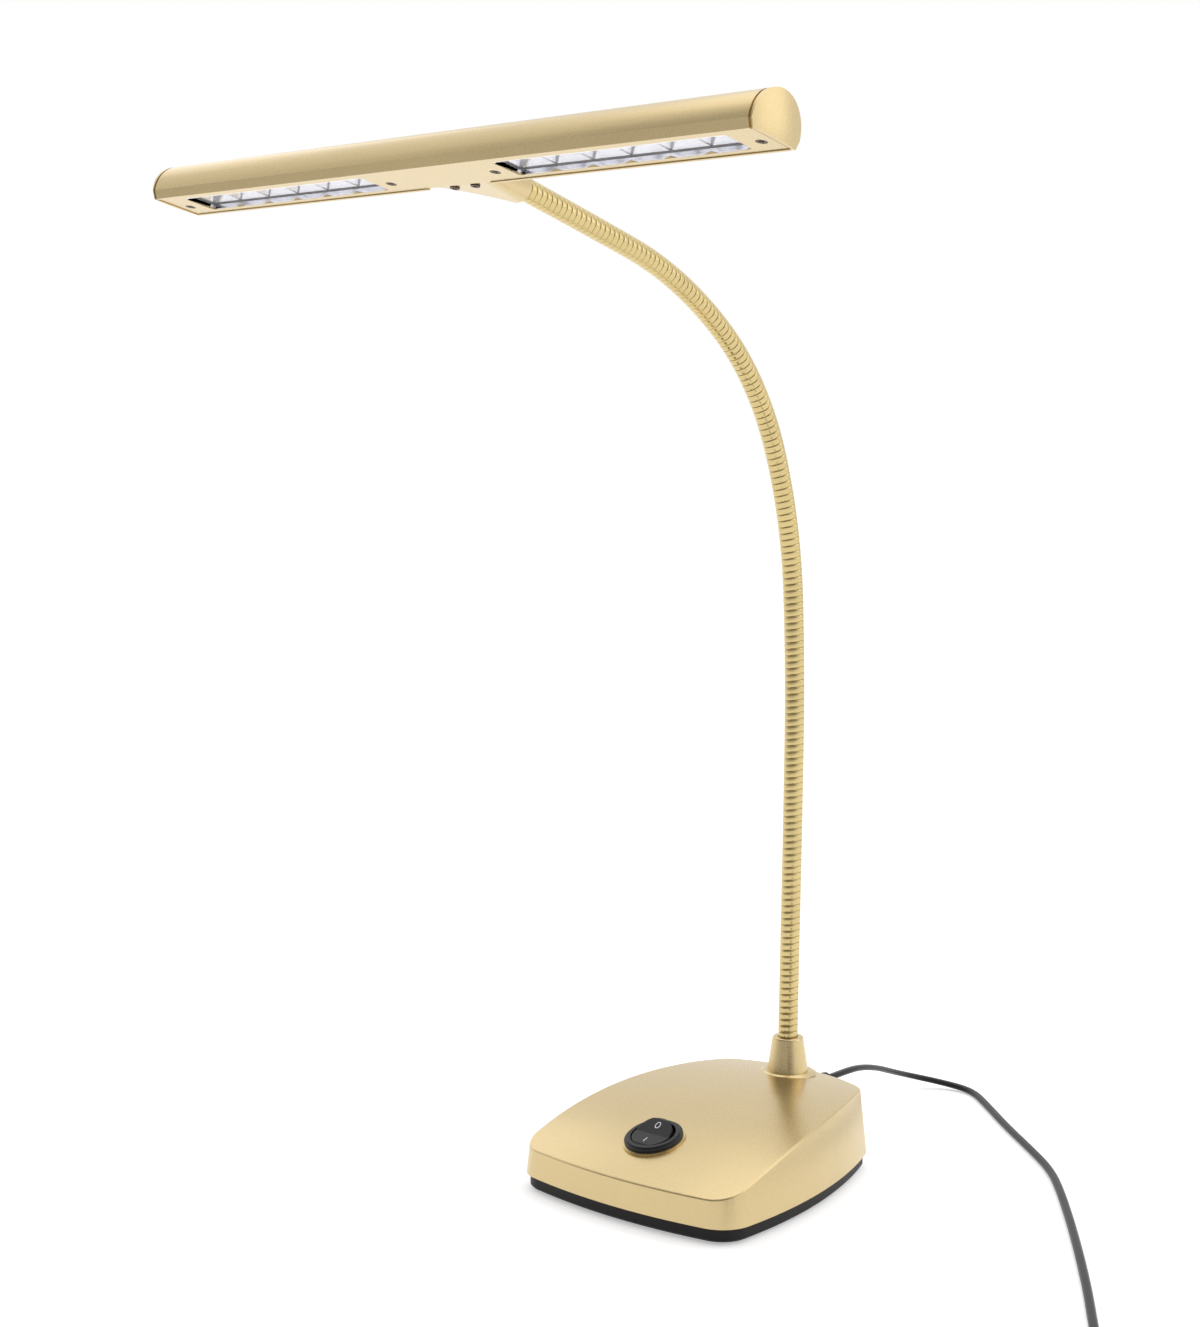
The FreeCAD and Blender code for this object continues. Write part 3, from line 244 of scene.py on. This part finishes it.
dressed = {
    "gold": ("base_cover", "neck_collar", "head_housing", "head_cover", "end_cap_left", "end_cap_right"),
    "black": ("base_plate",), "rubber": ("rubber_feet", "strain_relief", "adapter_boot"),
    "steel": ("base_weight", "neck_ferrule", "neck_washer", "neck_nut"),
    "screw": ("base_screws", "cover_screws", "lug_screws"),
    "switch": ("switch_housing", "switch_rocker"), "pins": ("switch_terminals", "adapter_pins"),
    "cable": ("supply_lead", "neck_lead") + tuple("neck_cable_%d" % k for k in range(1, 8)),
    "mirror": ("reflector_left", "reflector_right"), "board": ("led_board_left", "led_board_right"),
    "chip": ("led_chips_left", "led_chips_right"), "lens": ("lens_left", "lens_right"),
    "supply": ("adapter_top", "adapter_bottom"),
}
for finishName, names in dressed.items():
    for name in names:
        dress(name, finishName)


def ringFaces(a, b, sides):                          # quads between two rings of points
    return [(a + i, a + (i + 1) % sides, b + (i + 1) % sides, b + i) for i in range(sides)]


def meshPiece(name, points, faces, finishNames, faceFinish=None, smooth=True):
    mesh = bpy.data.meshes.new(name)
    mesh.from_pydata([tuple(p) for p in points], [], faces)
    for finishName in finishNames:
        mesh.materials.append(finishes[finishName].material)
    for k, polygon in enumerate(mesh.polygons):
        polygon.use_smooth = smooth
        if faceFinish:
            polygon.material_index = faceFinish[k]
    work = bmesh.new()
    work.from_mesh(mesh)
    bmesh.ops.remove_doubles(work, verts=work.verts, dist=1e-6)
    bmesh.ops.recalc_face_normals(work, faces=work.faces)
    work.to_mesh(mesh)
    work.free()
    piece = bpy.data.objects.new(name, mesh)
    bpy.context.scene.collection.objects.link(piece)
    return piece


# lead: free run, coil and tail on one spline, swept with a flat twin section
lead = {"width": 3.4, "thick": 2.7, "waist": 0.16, "waistWidth": 0.45, "sink": 0.3, "sides": 20,
        "exit": (0.0, 76.0, 24.5),
        "route": ((0, 88, 24.7), (-1.8, 103, 23.4), (-5, 121, 18.8), (-8.6, 139.5, 12.2), (-9.2, 156.5, 6.4),
                  (0.9, 167.2, 2.8), (15.4, 168, 1.7), (31.5, 153.6, 1.7), (54, 132.5, 1.7), (76, 113.5, 1.7),
                  (96, 95.5, 1.7), (110.5, 77.5, 1.7), (131, 49, 1.7), (151, 20, 1.7), (171, -10, 1.7),
                  (188, -37, 1.7), (203, -60, 1.7), (214, -82, 1.7)),
        "coilCentre": (246.2, -104.0), "coilInner": 15.5, "coilPitch": 4.5, "coilStep": 3.95,
        "coilTurns": 2.375, "coilLayers": 4, "climbTurns": 0.5, "swell": 0.981, "pointsPerTurn": 16,
        "lie": 1.7, "entry": 8, "tail": ((0, -9), (1.6, -19)), "tailDip": 0.2, "supplySide": 4,
        "supplyGap": 46.0, "supplyHeight": 30.0, "supplyAhead": (17, 9)}


coilOuter = lead["coilInner"] + lead["coilPitch"] * lead["coilTurns"]


def coilPoint(turns):
    radius, level, left = coilOuter, 0.0, turns
    for layer in range(lead["coilLayers"]):
        used = min(left, lead["coilTurns"])
        radius += (1 if layer % 2 else -1) * lead["coilPitch"] * used
        left -= used
        if left <= 0 or layer == lead["coilLayers"] - 1:
            break
        used = min(left, lead["climbTurns"])
        level += (1 - math.cos(math.pi * used / lead["climbTurns"])) / 2
        left -= used
        if left <= 0:
            break
    angle = math.pi + 2 * math.pi * turns
    grow = radius / lead["swell"]                    # a control point stands a little outside its turn
    x, y = lead["coilCentre"]
    return Vector((x + grow * math.cos(angle), y + grow * math.sin(angle),
                   lead["width"] / 2 + level * lead["coilStep"]))


def leadPoints():
    x, y = lead["coilCentre"][0] - coilOuter, lead["coilCentre"][1]
    points = [Vector(lead["exit"])] + [Vector(p) for p in lead["route"]]
    points.append(Vector((x, y + lead["entry"], lead["lie"])))
    total = lead["coilTurns"] * lead["coilLayers"] + lead["climbTurns"] * (lead["coilLayers"] - 1)
    count = round(total * lead["pointsPerTurn"])
    points += [coilPoint(total * k / count) for k in range(count + 1)]
    top = lead["lie"] + (lead["coilLayers"] - 1) * lead["coilStep"]
    jack, front = lead["supplyHeight"] / 2, y - lead["supplyGap"]
    for (dx, dy), dip in zip(lead["tail"], (lead["tailDip"], 0)):
        points.append(Vector((x + dx, y + dy, top - dip)))
    points += [Vector((x + lead["supplySide"], front + ahead, jack)) for ahead in lead["supplyAhead"]]
    return points


def splinePath(points):
    curve = bpy.data.curves.new("leadLine", "CURVE")
    curve.dimensions = "3D"
    curve.resolution_u = 5
    spline = curve.splines.new("NURBS")
    spline.points.add(len(points) - 1)
    for knot, p in zip(spline.points, points):
        knot.co = (p.x * mm, p.y * mm, p.z * mm, 1)
    spline.order_u = 3
    spline.use_endpoint_u = True
    holder = bpy.data.objects.new("leadLine", curve)
    flat = bpy.data.meshes.new_from_object(holder)
    path = [v.co.copy() for v in flat.vertices]
    bpy.data.objects.remove(holder)
    return path


def sweepLead(path):
    sides = lead["sides"]
    section = []
    for k in range(sides):
        angle = 2 * math.pi * k / sides
        x = lead["width"] / 2 * math.cos(angle)
        pinch = 1 - lead["waist"] * math.exp(-(x / lead["waistWidth"]) ** 2)
        section.append((x * mm, (lead["thick"] / 2 * math.sin(angle) * pinch - lead["sink"]) * mm))
    points, faces = [], []
    for k, spot in enumerate(path):
        ahead = (path[min(k + 1, len(path) - 1)] - path[max(k - 1, 0)]).normalized()
        side = ahead.cross(Vector((0, 0, 1))).normalized()
        rise = side.cross(ahead)
        points += [spot + side * x + rise * y for x, y in section]
        if k:
            faces += ringFaces((k - 1) * sides, k * sides, sides)
    faces += [tuple(range(sides)), tuple(range(len(points) - sides, len(points)))]
    return meshPiece("lead", points, faces, ["cord"])


leadPath = splinePath(leadPoints())
leadPiece = sweepLead(leadPath)
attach(leadPiece, "base")
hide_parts("cord", "cord_coil", "cord_tail")
leadLength = sum((b - a).length for a, b in zip(leadPath, leadPath[1:]))
print("lead made: %.3f m" % leadLength)

# gooseneck: a wide wound land with a narrow groove, one piece over each joint; the groove's darker finish is
# painted shade
neck = {"axisY": 48.5, "lean": 1.2, "bends": (-0.2, 0.6, 4.2, 17.9, 31.4, 20.8, 0.8), "stretch": 60.2,
        "pitch": 2.64, "land": 4.06, "sides": 32, "below": 8.0, "beyond": 15.0, "reach": 26.0,
        "profile": ((0.00, -0.26), (0.03, -0.22), (0.07, -0.06), (0.16, -0.02), (0.40, 0.0), (0.68, 0.0),
                    (0.86, -0.02), (0.93, -0.06), (0.97, -0.22))}

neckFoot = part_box("neck_collar")[1].z / mm           # the collar's top, where the first stretch starts


def neckSpot(s):                                     # centre and heading at a length from the neck's foot
    y, z, heading = neck["axisY"], neckFoot, math.radians(90 - neck["lean"])
    if s < 0:
        return Vector((0, y, z + s)), math.pi / 2
    for k, degrees in enumerate(neck["bends"]):
        turn = math.radians(degrees)
        last = k == len(neck["bends"]) - 1
        part = min(s, neck["stretch"])
        bend = turn / neck["stretch"]
        end = heading + bend * part
        y += (math.sin(end) - math.sin(heading)) / bend
        z -= (math.cos(end) - math.cos(heading)) / bend
        heading, s = end, s - part
        if s <= 0:
            break
        if last:
            y, z = y + math.cos(heading) * s, z + math.sin(heading) * s
    return Vector((0, y, z)), heading


def neckPiece(name, firstRow, lastRow):
    profile, sides = neck["profile"], neck["sides"]
    points, faces, kinds = [], [], []
    for row in range(firstRow, lastRow + 1):
        share, depth = profile[row % len(profile)]
        for k in range(sides + 1):
            turns = row // len(profile) + share + k / sides
            centre, heading = neckSpot(neck["pitch"] * turns - neck["below"])
            angle = 2 * math.pi * k / sides
            across = Vector((math.cos(angle), math.sin(angle) * math.sin(heading),
                             -math.sin(angle) * math.cos(heading)))
            points.append((centre + across * (neck["land"] + depth)) * mm)
    for row in range(lastRow - firstRow):
        # rows at the groove's bottom take the darker groove finish, which paints the groove's shade
        kind = 1 if (firstRow + row) % len(profile) in (0, len(profile) - 1) else 0
        for k in range(sides):
            a, b = row * (sides + 1) + k, (row + 1) * (sides + 1) + k
            faces.append((a, a + 1, b + 1, b))
            kinds.append(kind)
    return meshPiece(name, points, faces, ["neck", "grooveShade"], kinds)


neckBodies = ["base", "neck_2", "neck_3", "neck_4", "neck_5", "neck_6", "head"]
rowsPerTurn = len(neck["profile"])
neckLength = neck["stretch"] * len(neck["bends"])
cuts = [0]
for k in range(1, len(neckBodies) - 1):              # cut in a groove, half way along a stretch
    cuts.append(round((neck["stretch"] * (k + 0.5) + neck["below"]) / neck["pitch"]) * rowsPerTurn)
cuts.append(round((neckLength + neck["beyond"] + neck["below"]) / neck["pitch"]) * rowsPerTurn)
for k in range(len(neckBodies) - 1):
    piece = neckPiece("gooseneck_%d" % (k + 1), cuts[k], cuts[k + 1])
    joint = neck["stretch"] * (k + 1)
    neckSpot(joint - neck["reach"])[0] * mm
    neckSpot(joint + neck["reach"])[0] * mm
    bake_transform(piece)
    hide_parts(*(["neck_stretch_1", "neck_stretch_2"] if k == 0 else ["neck_stretch_%d" % (k + 2)]))
print("gooseneck made: %.1f turns" % (cuts[-1] / rowsPerTurn))

# switch marks: a ring on the raised end and a bar on the pressed end
marks = {"tilt": 11.0, "lean": 15.34, "switchY": -37.5, "top": 2.5, "slope": 10.34, "offset": 4.3,
         "lift": 0.03, "topRadius": 242.7, "topHeight": 34.2, "topCentreY": 26.7, "ring": (1.0, 1.35),
         "line": 0.34, "bar": 2.7, "under": -0.06, "over": 0.04, "ringSteps": 40, "barSteps": 8}


def markFrame(side):                                 # the rocker's face at the raised or pressed end
    radius, away = marks["topRadius"], marks["switchY"] - marks["topCentreY"]
    z = marks["topHeight"] - radius + math.sqrt(radius ** 2 - away ** 2)
    turn = Matrix.Rotation(math.radians(marks["lean"] + marks["tilt"]), 4, "X")
    slope = Matrix.Rotation(math.radians(marks["slope"] * side), 4, "X")
    return (Matrix.Translation(Vector((0, marks["switchY"], z))) @ turn
            @ Matrix.Translation(Vector((0, 0, marks["top"]))) @ slope
            @ Matrix.Translation(Vector((0, side * marks["offset"], marks["lift"]))))


def markPiece(name, line, closed, side):             # a flat printed line along a list of points
    points, faces = [], []
    half, turn, low, high = marks["line"] / 2, markFrame(side), marks["under"], marks["over"]
    count = len(line)
    for k, p in enumerate(line):
        ahead = line[(k + 1) % count] if closed else line[min(k + 1, count - 1)]
        behind = line[k - 1] if closed else line[max(k - 1, 0)]
        way = (ahead - behind).normalized()
        edge = Vector((way.y, -way.x, 0)) * half
        for offset, height in ((-1, low), (-1, high), (1, high), (1, low)):
            points.append((turn @ (p + edge * offset + Vector((0, 0, height)))) * mm)
    steps = count if closed else count - 1
    for k in range(steps):
        faces += ringFaces(k * 4, (k + 1) % count * 4, 4)
    if not closed:
        faces += [(0, 1, 2, 3), tuple(range(count * 4 - 4, count * 4))]
    piece = meshPiece(name, points, faces, ["mark"], smooth=False)
    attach(piece, "rocker")


ringX, ringY = marks["ring"]
ringTurns = [math.tau * k / marks["ringSteps"] for k in range(marks["ringSteps"])]
ringLine = [Vector((ringX * math.cos(angle), ringY * math.sin(angle), 0)) for angle in ringTurns]
markPiece("mark_off", ringLine, True, 1)
barShares = [k / marks["barSteps"] - 0.5 for k in range(marks["barSteps"] + 1)]
barLine = [Vector((0, marks["bar"] * share, 0)) for share in barShares]
markPiece("mark_on", barLine, False, -1)
print("switch marks made")

# reflector skirts: bright lips that line the windows, with a small scallop between cells
skirt = {"start": 30.6, "cell": 15.75, "cells": 6, "half": 6.7, "low": 0.35, "high": 1.88, "clear": 0.06,
         "thick": 0.35, "corner": 1.2, "cornerSteps": 6, "longSteps": 120, "scallop": 0.75,
         "scallopShare": 0.16, "endY": 38.7, "endZ": 8.7, "tilt": 12.0}
headTurn = Matrix.Rotation(math.radians(-skirt["tilt"]), 3, "X")
headOrigin = neckSpot(neckLength)[0] - headTurn @ Vector((0, skirt["endY"], skirt["endZ"]))


def skirtPiece(name, side):
    x0 = skirt["start"] + skirt["clear"]
    x1 = skirt["start"] + skirt["cell"] * skirt["cells"] - skirt["clear"]
    y1, r = skirt["half"] - skirt["clear"], skirt["corner"]
    corners = ((x1 - r, y1 - r), (x0 + r, y1 - r), (x0 + r, -y1 + r), (x1 - r, -y1 + r))
    ring = []
    for quarter, (cx, cy) in enumerate(corners):
        for k in range(skirt["cornerSteps"] + 1):
            angle = math.radians(90 * quarter + 90 / skirt["cornerSteps"] * k)
            ring.append(Vector((cx + r * math.cos(angle), cy + r * math.sin(angle), 0)))
    line = []
    for a, b in zip(ring, ring[1:] + ring[:1]):      # finer steps along the long sides
        steps = skirt["longSteps"] if (b - a).length > 2 * skirt["cell"] else 1
        line += [a.lerp(b, k / steps) for k in range(steps)]
    centre = Vector(((x0 + x1) / 2, 0, 0))
    points, faces, count = [], [], len(line)
    for p in line:
        inward = Vector((math.copysign(1, centre.x - p.x) if abs(p.y) < y1 - r else 0,
                         -math.copysign(1, p.y) if abs(p.y) >= y1 - r else 0, 0)) * skirt["thick"]
        share = ((p.x - x0) / skirt["cell"]) % 1.0
        rise = max(0.0, 1 - min(share, 1 - share) / skirt["scallopShare"]) * skirt["scallop"]
        low = skirt["low"] + (rise if p.y > y1 - r else 0.0)
        for offset, z in ((Vector(), low), (Vector(), skirt["high"]), (inward, skirt["high"]),
                          (inward, low)):
            q = p + offset
            points.append((headOrigin + headTurn @ Vector((q.x * side, q.y, z))) * mm)
    for k in range(count):
        faces += ringFaces(k * 4, (k + 1) % count * 4, 4)
    piece = meshPiece(name, points, faces, ["mirror"], smooth=False)
    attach(piece, "head")


skirtPiece("reflector_skirt_right", 1)
skirtPiece("reflector_skirt_left", -1)
print("reflector skirts made")

# floor and light: both grow dimmer on the side behind the photo's camera
stageLook = {"floor": (0.82, 0.82, 0.82), "rough": 0.9, "gloss": 0.1, "glow": 0.42, "cloud": 1.5,
             "cloudGain": (0.995, 1.005), "size": 60.0, "fade": (-2.2, -0.75), "sky": 1.0, "dark": 0.34,
             "dimSide": (0.20, -0.96, 0.18), "dimFrom": 0.34, "dimTo": 0.60}
floorFinish = Finish("paleFloor", {"Roughness": stageLook["rough"], "Specular IOR Level": stageLook["gloss"],
                                   "Emission Strength": stageLook["glow"]})
depth = floorFinish.add("ShaderNodeSeparateXYZ", {}, {"Vector": floorFinish.place()}, "Y")
near = floorFinish.add("ShaderNodeMapRange", {"interpolation_type": "SMOOTHSTEP"},
                       {"Value": depth, "From Min": stageLook["fade"][0], "From Max": stageLook["fade"][1]})
shade = tone((1, 1, 1), stageLook["dark"])
floorFinish.put("Emission Color", floorFinish.blend(near, shade, (1, 1, 1, 1)))
floorCloud = floorFinish.noise(stageLook["cloud"], 2.0)
floorTones = [tone(stageLook["floor"], gain) for gain in stageLook["cloudGain"]]
floorTone = floorFinish.blend(floorCloud, *floorTones)
floorFinish.put("Base Color", floorFinish.blend(near, shade, floorTone))
half = stageLook["size"] / 2
finishes["floor"] = floorFinish
floor = meshPiece("floor", [(-half, -half, 0), (half, -half, 0), (half, half, 0), (-half, half, 0)],
                  [(0, 1, 2, 3)], ["floor"])

lights = {
    "overhead": {"place": (0.0, 0.3, 1.9), "aim": (0, 0, 0.2), "size": (2.4, 2.0), "watts": 9.0},
    "left": {"place": (-1.9, 0.5, 1.0), "aim": (0, 0, 0.2), "size": (1.2, 1.6), "watts": 3.0},
    "right": {"place": (1.6, 1.2, 1.0), "aim": (0, 0, 0.2), "size": (1.2, 1.6), "watts": 4.0},
}
for name, spec in lights.items():
    data = bpy.data.lights.new(name, "AREA")
    data.shape = "RECTANGLE"
    data.size, data.size_y = spec["size"]
    data.energy = spec["watts"]
    lamp = bpy.data.objects.new(name, data)
    lamp.location = spec["place"]
    lamp.rotation_euler = (Vector(spec["aim"]) - Vector(spec["place"])).to_track_quat("-Z", "Y").to_euler()
    bpy.context.scene.collection.objects.link(lamp)

world = bpy.data.worlds.new("paleStudio")
world.use_nodes = True
bpy.context.scene.world = world
sky = world.node_tree.nodes["Background"]
sky.inputs["Strength"].default_value = stageLook["sky"]
way = world.node_tree.nodes.new("ShaderNodeTexCoord")
facing = world.node_tree.nodes.new("ShaderNodeVectorMath")
facing.operation = "DOT_PRODUCT"
facing.inputs[1].default_value = stageLook["dimSide"]
ramp = world.node_tree.nodes.new("ShaderNodeValToRGB")
bright, dim = ramp.color_ramp.elements
bright.position, bright.color = stageLook["dimFrom"], (1, 1, 1, 1)
dim.position, dim.color = stageLook["dimTo"], shade
world.node_tree.links.new(way.outputs["Generated"], facing.inputs[0])
world.node_tree.links.new(facing.outputs["Value"], ramp.inputs["Fac"])
world.node_tree.links.new(ramp.outputs["Color"], sky.inputs["Color"])
bpy.context.scene.view_settings.view_transform = "Standard"
print("stage made")
